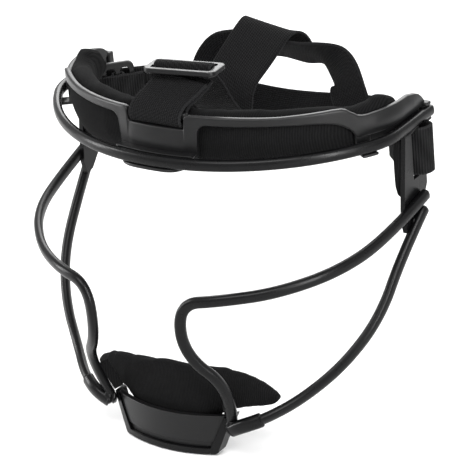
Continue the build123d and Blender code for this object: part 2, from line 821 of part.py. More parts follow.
# The crown strap as it lies in the photograph, from its left end to its right end
crown_shares = (
    (0.676, 0.862, -0.184, (0.97, -0.10, 0.20)),
    (0.628, 0.786, 0.236, (0.95, -0.15, 0.25)),
    (0.603, 0.783, 0.564, (0.90, -0.15, 0.40)),
    (0.596, 0.813, 0.756, (0.72, -0.23, 0.65)),
    (0.473, 0.949, 1.008, (0.64, -0.32, 0.70)),
    (0.322, 0.976, 1.144, (0.54, -0.59, 0.59)),
    (0.176, 0.989, 1.120, (0.35, -0.66, 0.66)),
    (0.000, 1.016, 1.116, (0.00, -0.75, 0.66)),
    (-0.162, 0.997, 1.156, (-0.30, -0.62, 0.72)),
    (-0.311, 0.957, 1.076, (-0.50, -0.50, 0.70)),
    (-0.431, 0.889, 0.876, (-0.68, -0.30, 0.67)),
    (-0.480, 0.783, 0.608, (-0.80, -0.15, 0.58)),
    (-0.534, 0.772, 0.256, (-0.93, -0.12, 0.30)),
    (-0.622, 0.872, -0.164, (-0.97, -0.10, 0.20)),
)
crown_centres = [
    Vector(across * split_x, deep * nape_reach, strap_mid_z + high * side_web)
    for across, deep, high, turned in crown_shares
]
with BuildPart() as crown_strap:
    web_band(crown_centres, [row[-1] for row in crown_shares], side_web)
write(crown_strap, "crown_strap")

# Patch that closes the rear joint of the top strap and the crown strap, and two rows of stitches
patch_row = len(crown_shares) // 2


def patch_plane(toward, lift):
    """A plane on the crown strap, a share of the way from its middle row to a row beside it."""
    beside = patch_row + (toward > 0) - (toward < 0)
    middle, turned = crown_centres[patch_row], Vector(*crown_shares[patch_row][-1])
    place = middle + (crown_centres[beside] - middle) * abs(toward)
    turned += (Vector(*crown_shares[beside][-1]) - turned) * abs(toward)
    width = unit_across(level, turned)
    return Plane(origin=place - level.cross(width) * lift, x_dir=level, z_dir=width.cross(level))


patch_planes = [patch_plane(toward, web_thick + web_gap) for toward in (-patch_share, 0, patch_share)]
with BuildPart() as rear_patch:
    web_band(
        [plane.origin for plane in patch_planes],
        [plane.y_dir for plane in patch_planes],
        side_web - 2 * web_thick,
    )
write(rear_patch, "rear_patch")

with BuildPart() as rear_stitching:
    for toward in (-stitch_share, stitch_share):
        with BuildSketch(patch_plane(toward, 3 / 2 * web_thick + web_gap + thread_gap)):
            with GridLocations(0, thread_long + thread_thick, 1, stitch_count):
                RectangleRounded(thread_thick, thread_long, thread_thick / 3)
        extrude(amount=thread_thick / 2)
write(rear_stitching, "rear_stitching")
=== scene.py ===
# %% [markdown]
# # A softball face guard, dressed piece by piece
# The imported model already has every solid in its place. This script loads it as a fixed frame
# and lays the real surfaces over it: smooth bent bars, a moulded shell, stuffed pads and woven
# straps. Lengths are written in millimetres until a mesh is made, because that is how the
# guard is measured; +Z is up, the guard faces -Y and +X is the wearer's left.

# %% Load the frame
import json

import bmesh
import bpy
import numpy as np
from mathutils import Matrix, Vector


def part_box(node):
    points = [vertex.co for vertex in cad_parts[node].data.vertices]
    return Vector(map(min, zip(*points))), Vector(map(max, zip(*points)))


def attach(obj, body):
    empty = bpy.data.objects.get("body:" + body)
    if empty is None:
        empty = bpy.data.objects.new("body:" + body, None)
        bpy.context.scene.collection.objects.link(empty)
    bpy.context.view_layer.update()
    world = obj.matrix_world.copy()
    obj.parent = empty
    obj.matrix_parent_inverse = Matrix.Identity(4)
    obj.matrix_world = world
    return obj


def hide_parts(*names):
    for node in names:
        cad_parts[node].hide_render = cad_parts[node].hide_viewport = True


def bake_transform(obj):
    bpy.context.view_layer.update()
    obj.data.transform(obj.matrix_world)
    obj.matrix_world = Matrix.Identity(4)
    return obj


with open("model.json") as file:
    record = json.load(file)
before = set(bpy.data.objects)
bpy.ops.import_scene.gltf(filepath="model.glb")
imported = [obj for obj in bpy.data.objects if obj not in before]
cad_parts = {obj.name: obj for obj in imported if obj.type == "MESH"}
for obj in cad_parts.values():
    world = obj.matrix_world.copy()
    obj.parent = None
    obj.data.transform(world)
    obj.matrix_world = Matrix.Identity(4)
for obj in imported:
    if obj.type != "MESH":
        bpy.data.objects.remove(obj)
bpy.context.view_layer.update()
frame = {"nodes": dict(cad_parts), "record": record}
MM = 0.001
SIDES = {"left": 1.0, "right": -1.0}

# %% [markdown]
# ## A surface from a grid of points
# Nearly every piece of the guard is a closed profile carried along a line: a bar, a strap, the
# shell. As arrays that is a grid, one ring of points for each place along the line. The mesh
# gets its faces from the grid's own order, and a UV map in millimetres, along and around, so
# that a weave can be written with its real pitch.

# %% Places along and around a grid
def millimetre_map(mesh, rings, around):
    """U = length of the line up to the ring, V = length of the profile up to the point."""
    count, size = rings.shape[:2]
    along = np.concatenate([[0.0], np.cumsum(np.linalg.norm(np.diff(rings.mean(1), axis=0), axis=1))])
    if around is None:
        ring = rings[count // 2]
        edge = np.linalg.norm(np.diff(ring, axis=0, append=ring[:1]), axis=1)
        around = np.concatenate([[0.0], np.cumsum(edge)])
    i, j = np.meshgrid(np.arange(count - 1), np.arange(size), indexing="ij")
    u = np.stack([along[i], along[i], along[i + 1], along[i + 1]], -1)
    v = np.stack([around[j], around[j + 1], around[j + 1], around[j]], -1)
    flat = np.zeros((len(mesh.loops), 2))
    flat[: 4 * i.size] = np.stack([u, v], -1).reshape(-1, 2)
    mesh.uv_layers.new(name="millimetres").data.foreach_set("uv", flat.ravel())
    return along[-1]


def face_outwards(mesh):
    """The volume under all faces, seen from the middle, is positive when they point outwards."""
    mesh.calc_loop_triangles()
    corners = np.empty(len(mesh.loop_triangles) * 3, dtype=np.int64)
    mesh.loop_triangles.foreach_get("vertices", corners)
    points = np.empty(len(mesh.vertices) * 3)
    mesh.vertices.foreach_get("co", points)
    points = points.reshape(-1, 3)
    a, b, c = points[corners.reshape(-1, 3)].transpose(1, 0, 2) - points.mean(0)
    if np.einsum("ij,ij->i", a, np.cross(b, c)).sum() < 0:
        mesh.flip_normals()


# %% Grid to mesh
def lay_rings(name, rings, body, around=None):
    """Each ring is joined to the next, point by point, and the two end rings are filled."""
    count, size = rings.shape[:2]
    i, j = np.meshgrid(np.arange(count - 1), np.arange(size), indexing="ij")
    k = (j + 1) % size
    quads = np.stack([i * size + j, i * size + k, (i + 1) * size + k, (i + 1) * size + j], -1)
    faces = quads.reshape(-1, 4).tolist()
    faces += [list(range(size))[::-1], list(range((count - 1) * size, count * size))]
    mesh = bpy.data.meshes.new(name)
    mesh.from_pydata((rings.reshape(-1, 3) * MM).tolist(), [], faces)
    long = millimetre_map(mesh, rings, around)
    mesh.validate()
    piece = bpy.data.objects.new(name, mesh)
    bpy.context.scene.collection.objects.link(piece)
    face_outwards(mesh)
    mesh.polygons.foreach_set("use_smooth", [True] * len(mesh.polygons))
    if body:
        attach(piece, body)
    print(f"{name}: {len(mesh.polygons)} faces, {long:.0f} mm long")
    return piece


# %% [markdown]
# ## Lines to carry a profile along
# Bars are bent from straight stock, so a quadratic B-spline over the bending points gives
# the even curve of a bender. Straps run through places seen in the photograph, so a cubic
# curve goes exactly through its points.

# %% Curves
def bent_line(points, count=140):
    """Quadratic B-spline: it starts and ends on the first and last point and touches each run."""
    points = np.asarray(points, float)
    middles = (points[:-1] + points[1:]) / 2
    starts = np.concatenate([points[:1], middles[1:-1]])
    ends = np.concatenate([middles[1:-1], points[-1:]])
    bends = points[1:-1]
    span = np.linspace(0, len(bends) - 1e-9, count)
    index = span.astype(int)
    t = (span - index)[:, None]
    return (1 - t) ** 2 * starts[index] + 2 * t * (1 - t) * bends[index] + t**2 * ends[index]


def through(points, count=90):
    """Natural cubic curve through the points, its parameter the length of the chords."""
    points = np.asarray(points, float)
    chords = np.linalg.norm(np.diff(points[:, :3], axis=0), axis=1)
    knots = np.concatenate([[0.0], np.cumsum(chords)])
    n = len(points)
    system, right = np.eye(n), np.zeros((n, points.shape[1]))
    rows = np.arange(1, n - 1)
    system[rows, rows - 1], system[rows, rows + 1] = chords[:-1], chords[1:]
    system[rows, rows] = 2 * (chords[:-1] + chords[1:])
    slope = np.diff(points, axis=0) / chords[:, None]
    right[1:-1] = 6 * np.diff(slope, axis=0)
    bend = np.linalg.solve(system, right)
    at = np.linspace(0, knots[-1], count)
    i = np.clip(np.searchsorted(knots, at, side="right") - 1, 0, n - 2)
    a, b, w = (knots[i + 1] - at)[:, None], (at - knots[i])[:, None], chords[i][:, None]
    bent = (bend[i] * a**3 + bend[i + 1] * b**3) / (6 * w)
    return bent + (points[i] / w - bend[i] * w / 6) * a + (points[i + 1] / w - bend[i + 1] * w / 6) * b


# %% [markdown]
# A profile needs two directions at every place of its line: a width, which is given, and a
# normal, which is square to the width and to the line. A few small ramps shape how a profile
# grows and shrinks on its way.

# %% Directions and ramps
def unit(v):
    """The vectors scaled to length one."""
    return v / np.linalg.norm(v, axis=-1, keepdims=True)


def carry(line, across, profile):
    """Point = line + width direction * profile[..., 0] + normal * profile[..., 1]."""
    tangent = unit(np.gradient(line, axis=0))
    across = unit(across - tangent * np.sum(across * tangent, -1, keepdims=True))
    normal = np.cross(tangent, across)
    profile = np.broadcast_to(profile, (len(line), *np.shape(profile)[-2:]))
    return line[:, None] + across[:, None] * profile[..., :1] + normal[:, None] * profile[..., 1:]


def ramp(value, start, end):
    """Goes evenly from 0 at the start to 1 at the end; the end may be the smaller number."""
    return np.clip((value - start) / (end - start), 0, 1)


def dome(t, least):
    """A quarter circle that rises from 0 to 1 with t; its square is never under the least."""
    return np.sqrt(np.clip(1 - (1 - t) ** 2, least, 1))


# %% Profiles
def oval(tall, thick, count=20, square=2.6):
    """A flattened rod's section: a superellipse, a circle whose sides are pressed flat."""
    a = np.linspace(0, 2 * np.pi, count, endpoint=False)
    c, s = np.cos(a), np.sin(a)
    power = 2 / square
    across, through_it = np.sign(c) * np.abs(c) ** power, np.sign(s) * np.abs(s) ** power
    return np.stack([across * tall / 2, through_it * thick / 2], -1)


def pill(half, thick, steps=12, soft=0.55):
    """A strap's section: two flat faces with a row of points each, and rounded edges."""
    straight = half - thick * soft / 2
    flat = np.linspace(-1, 1, steps) * straight
    a = np.linspace(-np.pi / 2, np.pi / 2, 5)[1:-1]
    edge = straight + np.cos(a) * thick * soft / 2
    top = np.stack([flat, np.full(steps, -thick / 2)], -1)
    right = np.stack([edge, np.sin(a) * thick / 2], -1)
    bottom = np.stack([flat[::-1], np.full(steps, thick / 2)], -1)
    left = np.stack([-edge, -np.sin(a) * thick / 2], -1)
    return np.concatenate([top, right, bottom, left])


ROD_TALL, ROD_THICK = 5.8, 4.6
FRONT_WIDE, SIDE_WIDE, WEB_THICK = 30.0, 25.0, 1.6
print("rod:", ROD_TALL, "by", ROD_THICK, "mm; webbing:", FRONT_WIDE, "and", SIDE_WIDE, "mm wide")

# %% [markdown]
# ## Finishes
# All of the guard is black, so its materials are told apart by gloss, grain and sheen. Each
# helper below wires one small pattern: a fine orange peel on the coated steel, a spark-eroded
# grain on the moulded shell, and woven ribs on the cloth. The patterns change colour,
# roughness and bump a little, and the rest is left to the lights.

# %% Node helpers
def new_finish(name, colour, rough, specular, sheen=0.0):
    """A material with its constants on the shader's own sockets."""
    material = bpy.data.materials.new(name)
    material.use_nodes = True
    shader = material.node_tree.nodes["Principled BSDF"]
    shader.inputs["Base Color"].default_value = (*colour, 1)
    shader.inputs["Roughness"].default_value = rough
    shader.inputs["Sheen Weight"].default_value = sheen
    shader.inputs["Sheen Roughness"].default_value = 0.45
    shader.inputs["Specular IOR Level"].default_value = specular
    material.diffuse_color = (*colour, 1)
    return material, material.node_tree, shader


def node(tree, kind, settings=None, **inputs):
    """Adds one node; a value sets its input, and a socket is linked to it."""
    made = tree.nodes.new(kind)
    for key, value in (settings or {}).items():
        setattr(made, key, value)
    for key, value in inputs.items():
        by_number = key[0] == "_" and key[1:].isdigit()
        socket = made.inputs[int(key[1:]) if by_number else key.replace("_", " ")]
        if isinstance(value, bpy.types.NodeSocket):
            tree.links.new(value, socket)
        else:
            socket.default_value = value
    return made


def sums(tree, operation, a, b):
    """One arithmetic step on two values or sockets."""
    return node(tree, "ShaderNodeMath", {"operation": operation}, _0=a, _1=b).outputs[0]


# %% Pattern helpers
def spread(tree, value, low, high):
    """Maps a pattern from 0..1 to the given range."""
    return node(tree, "ShaderNodeMapRange", None, _0=value, _3=low, _4=high).outputs[0]


def tint(tree, value, dark, light):
    """Blends two colours by a pattern."""
    blend = node(tree, "ShaderNodeValToRGB", None, _0=value)
    blend.color_ramp.elements[0].color = (*dark, 1)
    blend.color_ramp.elements[1].color = (*light, 1)
    return blend.outputs[0]


def scaled(colour, share):
    """The colour times a share."""
    return tuple(c * share for c in colour)


def raise_bump(tree, shader, height, strength, deep):
    """Turns a height pattern into a bump on the shader; deep is in millimetres."""
    bump = node(tree, "ShaderNodeBump", None, Strength=strength, Distance=deep * MM, Height=height)
    tree.links.new(bump.outputs[0], shader.inputs["Normal"])


def speckle(tree, pitch, detail=3.0):
    """Noise with a grain of the given pitch in millimetres, in the object's own space."""
    place = node(tree, "ShaderNodeTexCoord").outputs["Object"]
    scale = 1 / (pitch * MM)
    return node(tree, "ShaderNodeTexNoise", None, Vector=place, Scale=scale, Detail=detail).outputs[0]


# %% [markdown]
# The cage is powder coated: a soft peel of low bumps, and slightly duller and shinier patches
# where hands and head have rubbed it. The shell and the buckles are moulded, and their mould
# has a spark-eroded grain that is finer than the peel. Both read Object coordinates, because
# their patterns have no direction along the piece.

# %% Coated steel and moulded plastic
def coated_steel():
    """Colour and roughness follow one slow noise, the bump a fast one."""
    material, tree, shader = new_finish("powder coat", (0.003, 0.003, 0.0033), 0.28, specular=0.16)
    patch = speckle(tree, 9.0)
    tree.links.new(spread(tree, patch, 0.22, 0.34), shader.inputs["Roughness"])
    coat = tint(tree, patch, (0.0020, 0.0020, 0.0022), (0.0040, 0.0040, 0.0043))
    tree.links.new(coat, shader.inputs["Base Color"])
    raise_bump(tree, shader, speckle(tree, 0.7, 1.0), 0.25, 0.05)
    return material


def moulded(name, colour, rough, grain):
    """Colour and roughness follow one slow noise, the bump the grain of the mould."""
    material, tree, shader = new_finish(name, colour, rough, specular=0.25)
    patch = speckle(tree, 14.0)
    tree.links.new(tint(tree, patch, colour, scaled(colour, 1.35)), shader.inputs["Base Color"])
    tree.links.new(spread(tree, patch, rough - 0.05, rough + 0.07), shader.inputs["Roughness"])
    raise_bump(tree, shader, speckle(tree, grain, 2.0), 0.3, 0.04)
    return material


STEEL = coated_steel()
SHELL = moulded("moulded shell", (0.0045, 0.0045, 0.0047), 0.36, 0.35)
BUCKLE = moulded("buckle plastic", (0.0040, 0.0040, 0.0042), 0.33, 0.5)
print("finishes:", STEEL.name, SHELL.name, BUCKLE.name)

# %% [markdown]
# Webbing is woven: cords of yarn run along it, and the weft crosses them in a slant. Along both edges the
# weft turns back, as in all selvedges, which makes a narrow, smoother edge; its lighter colour is a painted
# highlight, where light catches that edge. The UV map gives millimetres along (U) and across (V), so all
# three are sine waves.

# %% Woven finish
EDGE_HIGHLIGHT_WIDTH = 0.9


def woven(name, colour, rib, slant, half, across=False):
    """Ribs: sine of V (or U). Weft: sine of a slanted line. Painted edge highlight: |V| near half the width.
    """
    material, tree, shader = new_finish(name, colour, 0.9, specular=0.04, sheen=0.012)
    uv = node(tree, "ShaderNodeUVMap", {"uv_map": "millimetres"}).outputs[0]
    u, v = node(tree, "ShaderNodeSeparateXYZ", None, Vector=uv).outputs[:2]
    ribs = sums(tree, "SINE", sums(tree, "MULTIPLY", u if across else v, 2 * np.pi / rib), 0.0)
    slanted = sums(tree, "MULTIPLY", u, 2 * np.pi / slant)
    slanted = sums(tree, "ADD", slanted, sums(tree, "MULTIPLY", v, np.pi / slant))
    weft = sums(tree, "SINE", slanted, 0.0)
    height = sums(tree, "ADD", ribs, sums(tree, "MULTIPLY", weft, 0.6))
    yarn = sums(tree, "MULTIPLY_ADD", height, 0.3)
    yarn.node.inputs[2].default_value = 0.5
    fuzz = speckle(tree, 1.1)
    mixed = sums(tree, "ADD", sums(tree, "MULTIPLY", yarn, 0.7), sums(tree, "MULTIPLY", fuzz, 0.35))
    cloth = tint(tree, mixed, scaled(colour, 0.30), scaled(colour, 2.6))
    # Painted highlight: the base colour is lighter in a narrow band along both edges, where light catches
    # the smoother edge.
    edge = sums(tree, "GREATER_THAN", sums(tree, "ABSOLUTE", v, 0.0), half - EDGE_HIGHLIGHT_WIDTH)
    painted_edge_highlight = (*scaled(colour, 2.8), 1)
    edge_highlight_mix = node(tree, "ShaderNodeMix", {"data_type": "RGBA"}, _0=edge, _6=cloth, _7=painted_edge_highlight)
    tree.links.new(edge_highlight_mix.outputs[2], shader.inputs["Base Color"])
    raise_bump(tree, shader, height, 0.75, 0.22)
    return material


# %% [markdown]
# The pads are covered with brushed knit. Its upright ribs are fine and broken by fuzz, and
# the cloth solver's remesh leaves no UV map, so this pattern reads Object coordinates.

# %% Brushed knit
def padded_cloth(name, colour, rib):
    """Shade = (0.45 wave + 0.55 fuzz) * a slow wobble between 0.75 and 1.25."""
    material, tree, shader = new_finish(name, colour, 0.95, specular=0.04, sheen=0.015)
    place = node(tree, "ShaderNodeTexCoord").outputs["Object"]
    wobble = speckle(tree, 3.0)
    wave = node(
        tree, "ShaderNodeTexWave", {"wave_type": "BANDS", "bands_direction": "X"},
        Vector=place, Scale=1 / (rib * MM) / 3.0, Distortion=1.5, Detail=1.0,
    ).outputs[1]
    fuzz = speckle(tree, 0.55, 4.0)
    mixed = sums(tree, "ADD", sums(tree, "MULTIPLY", wave, 0.45), sums(tree, "MULTIPLY", fuzz, 0.55))
    shade = sums(tree, "MULTIPLY", mixed, spread(tree, wobble, 0.75, 1.25))
    tree.links.new(tint(tree, shade, scaled(colour, 0.35), scaled(colour, 1.9)), shader.inputs["Base Color"])
    raise_bump(tree, shader, mixed, 0.7, 0.35)
    return material


# %% Cloths and thread
FRONT_WEB = woven("front webbing", (0.0055, 0.0055, 0.0057), 1.15, 1.6, FRONT_WIDE / 2)
SIDE_WEB = woven("side webbing", (0.0040, 0.0040, 0.0042), 1.15, 1.6, SIDE_WIDE / 2)
RIB_WEB = woven("ribbed webbing", (0.0065, 0.0065, 0.0067), 1.3, 9.0, SIDE_WIDE / 2, across=True)
PAD_CLOTH = padded_cloth("pad cloth", (0.0062, 0.0062, 0.0064), 1.1)
CHIN_CLOTH = padded_cloth("chin cloth", (0.0062, 0.0062, 0.0064), 0.9)
THREAD, _, _ = new_finish("thread", (0.018, 0.018, 0.019), 0.6, specular=0.5, sheen=0.2)
TAPE = padded_cloth("hook tape", (0.01, 0.01, 0.01), 1.2)
print("cloths:", [m.name for m in (FRONT_WEB, SIDE_WEB, RIB_WEB, PAD_CLOTH, CHIN_CLOTH, THREAD, TAPE)])


def dress(piece, material, slot, *nodes):
    """Gives a piece its material, and lets it stand for the CAD nodes it replaces; the slot is not used."""
    piece.data.materials.clear()
    piece.data.materials.append(material)
    if nodes:
        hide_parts(*nodes)
    return piece


# %% [markdown]
# ## The cage
# Five bars carry the blow: one flattened rod round the brow, and a cheek bar and a jaw bar on
# each side. The rod's section is a superellipse, and a parallel frame carries it round the
# bends without a twist.

# %% Bars
def untwisted(line, start):
    """Carries a width direction along a line: at each step it loses what points along the line."""
    tangent = unit(np.gradient(line, axis=0))
    widths = [unit(np.asarray(start) - tangent[0] * np.dot(start, tangent[0]))]
    for here in tangent[1:]:
        widths.append(unit(widths[-1] - here * np.dot(widths[-1], here)))
    return np.array(widths)


UPRIGHT = (0, 0, 1)
END_ROUND = 1.6


def bar(name, line, tall=ROD_TALL, thick=ROD_THICK):
    """A rod along the line, its two ends drawn in to a short dome."""
    reach = np.concatenate([[0.0], np.cumsum(np.linalg.norm(np.diff(line, axis=0), axis=1))])
    size = dome(ramp(np.minimum(reach, reach[-1] - reach), 0, END_ROUND), 0.12)
    rings = carry(line, untwisted(line, UPRIGHT), oval(tall, thick)[None] * size[:, None, None])
    return lay_rings(name, rings, "frame")


def with_ends(line, near=(0.0, 0.15, 0.5, 1.0, END_ROUND)):
    """Adds close stations at both ends of a line, where the dome is."""
    first, last = unit(line[1] - line[0]), unit(line[-2] - line[-1])
    near = np.array(near)[:, None]
    return np.concatenate([line[0] + first * near, line[2:-2], (line[-1] + last * near)[::-1]])


# %% [markdown]
# The cheek bar runs forward under the eye, turns down beside the mouth and ends at the chin
# plate; the jaw bar takes the shorter way below it. Their bending points are shares of the
# guard's half width, of the brow's reach and of the drop to the chin. The last stretch of the
# jaw bar is pressed flat and thicker, as a sleeve.

# %% Cheek and jaw bars
HALF_WIDTH, BROW_REACH, CHIN_DROP = 97.35, 85.0, 152.4
CHEEK_SHARES = (
    (1.034, 0.062, 0.252), (1.010, -0.365, 0.311), (0.924, -0.750, 0.344), (0.718, -1.050, 0.369),
    (0.490, -1.230, 0.378), (0.276, -1.290, 0.398), (0.268, -1.282, 0.582), (0.444, -1.120, 0.730),
    (0.374, -1.040, 0.884),
)
JAW_SHARES = (
    (1.036, 0.026, 0.292), (1.006, -0.216, 0.414), (0.985, -0.455, 0.574), (0.870, -0.664, 0.703),
    (0.702, -0.836, 0.804), (0.564, -0.996, 0.852), (0.434, -1.076, 0.882), (0.368, -1.052, 0.908),
)
SLEEVE_TALL, SLEEVE_THICK = 7.3, 5.9
sleeve_part = slice(-38, -3)

for side, hand in SIDES.items():
    reach = (hand * HALF_WIDTH, BROW_REACH, -CHIN_DROP)
    cheek = with_ends(bent_line(np.asarray(CHEEK_SHARES) * reach, 170))
    dress(bar(f"cheek_rod_{side}", cheek), STEEL, "frame_coat", f"cheek_bar_{side}")
    jaw = with_ends(bent_line(np.asarray(JAW_SHARES) * reach, 150))
    dress(bar(f"jaw_rod_{side}", jaw), STEEL, "frame_coat", f"jaw_bar_{side}")
    sleeve = bar(f"jaw_end_{side}", with_ends(jaw[sleeve_part]), SLEEVE_TALL, SLEEVE_THICK)
    dress(sleeve, STEEL, "frame_coat", f"jaw_sleeve_{side}")

# %% [markdown]
# The brow line is made of three arcs and two straight tails. Its heading turns by the arc
# length over the radius, so the place is a sum of two sines: one for the difference of the
# radii, and one for the small radius itself.

# %% Brow line
FRONT_TURN = np.radians(60)


def brow_line(s, front, side, centre):
    """Place and outward normal in plan at the signed distance s from the middle of the front."""
    s = np.asarray(s, float)
    a = np.abs(s)
    wide = np.minimum(a / front, FRONT_TURN)
    tight = np.clip((a - front * FRONT_TURN) / side, 0, np.pi / 2 - FRONT_TURN)
    run = np.clip(a - front * FRONT_TURN - side * (np.pi / 2 - FRONT_TURN), 0, None)
    angle = wide + tight
    x = (front - side) * np.sin(wide) + side * np.sin(angle)
    y = centre - (front - side) * np.cos(wide) - side * np.cos(angle) + run
    hand = np.where(s < 0, -1.0, 1.0)
    return np.stack([x * hand, y], -1), np.stack([np.sin(angle) * hand, -np.cos(angle)], -1)


# %% Brow bar
BAR_FRONT, BAR_SIDE, TAIL_REACH = 107.0, 35.0, 20.0
bar_centre = BAR_FRONT - BROW_REACH
arcs_long = BAR_FRONT * FRONT_TURN + BAR_SIDE * (np.pi / 2 - FRONT_TURN)
arcs_end = bar_centre - (BAR_FRONT - BAR_SIDE) * np.cos(FRONT_TURN)
bar_s = np.linspace(-1, 1, 260) * (arcs_long + TAIL_REACH - arcs_end)
place, _ = brow_line(bar_s, BAR_FRONT, BAR_SIDE, bar_centre)
brow = with_ends(np.concatenate([place, np.zeros((len(place), 1))], 1))
dress(bar("brow_rod", brow), STEEL, "frame_coat", "brow_bar")

# %% [markdown]
# Where bars meet, the welder leaves a small bead. Each bead is a lumpy ball: a sphere whose
# radius is changed by a few waves, so that it doesn't look turned.

# %% Weld beads
def bead(name, centre, size):
    """Radius = size times one plus small sines of the two angles."""
    down = np.linspace(0.08, np.pi - 0.08, 12)
    a, b = np.meshgrid(down, np.linspace(0, 2 * np.pi, 18, endpoint=False), indexing="ij")
    r = 1 + 0.10 * np.sin(3 * b + 2 * a) + 0.06 * np.sin(5 * a)
    ball = np.stack([np.sin(a) * np.cos(b), np.sin(a) * np.sin(b), np.cos(a)], -1) * r[..., None]
    return lay_rings(name, np.asarray(centre) + ball * np.asarray(size), "frame")


BEADS = {
    "cheek_rear": ((99.3, -2.0, -41.5), (1.6, 5.0, 2.2)),
    "jaw_rear": ((99.0, -4.5, -50.5), (1.6, 3.6, 2.6)),
    "brow": ((97.4, -2.0, -3.4), (1.7, 7.5, 1.6)),
    "chin_low": ((35.6, -88.4, -136.2), (2.0, 2.6, 3.2)),
    "chin_mid": ((37.0, -90.6, -134.6), (2.2, 2.2, 2.6)),
}
for side, hand in SIDES.items():
    for spot, (centre, size) in BEADS.items():
        weld = bead(f"weld_{spot}_{side}", np.array(centre) * (hand, 1, 1), size)
        dress(weld, STEEL, "frame_coat")

# %% [markdown]
# ## Stamped and moulded CAD pieces
# The temple plates, the chin rim, the chin plate and the buckles are right in the packed
# model, but their edges are razor sharp. A copy is merged, its flat faces are joined again,
# and a small bevel rolls the edges over, as a press or a mould does.

# %% Rolled edges
MERGE, SAME_FACE, SHARP = 0.02, np.radians(1.0), np.radians(30)


def rolled(node_name, name, material, slot, width):
    """The CAD mesh with doubles merged, flat triangles dissolved and its sharp edges bevelled."""
    work = bmesh.new()
    work.from_mesh(frame["nodes"][node_name].data)
    bmesh.ops.remove_doubles(work, verts=work.verts, dist=MERGE * MM)
    bmesh.ops.dissolve_limit(work, angle_limit=SAME_FACE, verts=work.verts, edges=work.edges)
    mesh = bpy.data.meshes.new(name)
    work.to_mesh(mesh)
    work.free()
    piece = bpy.data.objects.new(name, mesh)
    bpy.context.scene.collection.objects.link(piece)
    bevel = piece.modifiers.new("rolled edge", "BEVEL")
    bevel.width, bevel.segments, bevel.limit_method, bevel.angle_limit = width * MM, 2, "ANGLE", SHARP
    mesh.polygons.foreach_set("use_smooth", [True] * len(mesh.polygons))
    piece.modifiers.new("even faces", "WEIGHTED_NORMAL").keep_sharp = True
    bodies = frame["record"]["behaviour"]["bodies"]
    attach(piece, next(body for body, nodes in bodies.items() if node_name in nodes))
    print(f"{name}: rolled by {width} mm")
    return dress(piece, material, slot, node_name)


for side in SIDES:
    rolled(f"temple_plate_{side}", f"temple_steel_{side}", STEEL, "frame_coat", 0.7)
    rolled(f"temple_buckle_{side}", f"temple_slide_{side}", BUCKLE, "buckle_plastic", 0.5)
rolled("chin_rim", "chin_strip", STEEL, "frame_coat", 0.7)
rolled("chin_plate", "chin_face", SHELL, "shell_plastic", 0.4)
rolled("front_buckle", "front_slide", BUCKLE, "buckle_plastic", 0.5)

# %% [markdown]
# ## The brow shell
# One moulded band clips on the brow bar. Seen in plan it follows the brow line; seen from the
# side its top and its lower edge rise and fall. So the shell is one surface: at every distance
# s from the middle, a rounded section between a low and a top level. Windows, notch and side
# plates are only those two levels as functions of s.

# %% Band surface
def band(s, low, top, outer, inner, curve, corner, rows, swell=0.0):
    """A rounded rectangle from low to top and outer to inner inset; its face swells by a sine."""
    place, normal = curve(s)
    values = (low, top, outer, inner, swell)
    low, top, outer, inner, swell = (np.broadcast_to(np.asarray(v, float), s.shape)[:, None] for v in values)
    r = np.minimum(corner, np.minimum(top - low, np.abs(inner - outer)) * 0.46)
    a = np.linspace(0, np.pi / 2, 4)
    v = np.linspace(0, 1, rows)[1:-1]
    rise = (top - low - 2 * r) * v

    def corner_arc(depth, level, start):
        return depth + r * np.cos(a + start), level + r * np.sin(a + start)

    section = [
        corner_arc(-outer - r, top - r, 0),
        corner_arc(-inner + r, top - r, np.pi / 2),
        (np.repeat(-inner, len(v), 1), top - r - rise),
        corner_arc(-inner + r, low + r, np.pi),
        corner_arc(-outer - r, low + r, 1.5 * np.pi),
        (-outer + swell * np.sin(np.pi * v), low + r + rise),
    ]
    depth, level = (np.concatenate(part, 1) for part in zip(*section))
    plan = place[:, None] + normal[:, None] * depth[..., None]
    return np.concatenate([plan, level[..., None]], -1)


def level_line(s, table):
    """Reads a table of (distance, level) at s, straight between its rows."""
    table = np.asarray(table)
    return np.interp(np.abs(s), table[:, 0], table[:, 1])


# %% [markdown]
# The two tables below are the shell's profile: the strap notch in the middle, the windows
# that show the pad, the step down to the side plates and their rounded rear ends. The window
# corner is a quarter circle. On the wearer's right the rear half's top sags by SAG.

# %% Shell levels
SHELL_FRONT, SHELL_SIDE, SHELL_CENTRE = 104.3, 42.0, 26.8
SHELL_END, SHELL_WALL = 151.8, 3.0
WINDOW_START, WINDOW_LOW, WINDOW_ROUND = 22.9, 12.0, 5.0
SAG = 1.8
TOP = (
    (0, 14.4), (15.7, 14.4), (16.2, 14.9), (16.6, 20.6), (17.4, 21.4), (19, 21.8), (39.5, 21.1),
    (62.5, 20.0), (90, 19.9), (94.5, 19.6), (96.5, 18.9), (98.5, 17.4), (102.6, 14.7), (105, 14.0),
    (108, 13.8), (121, 14.3), (137, 14.1), (143.5, 12.4), (147, 10.8), (149.6, 8.6), (151.2, 6.6),
    (SHELL_END, 5.4),
)
corner_turn = np.radians(np.linspace(0, 90, 9))
window_corner = zip(
    WINDOW_START + WINDOW_ROUND * (1 - np.cos(corner_turn)), WINDOW_LOW + WINDOW_ROUND * np.sin(corner_turn)
)
LOW = (
    (0, -4.65), (21.7, -4.65), (22.1, 1.0), (22.7, 10.0), *window_corner, (44, 16.4), (62, 15.7),
    (79, 14.6), (87, 13.4), (90.5, 12.5), (94, 10.9), (97.2, 8.7), (99.2, 6.5), (100.2, 4.8),
    (100.5, 3.3), (SHELL_END, 3.3),
)


def shell_curve(s):
    """The outer face of the shell in plan."""
    return brow_line(s, SHELL_FRONT, SHELL_SIDE, SHELL_CENTRE)


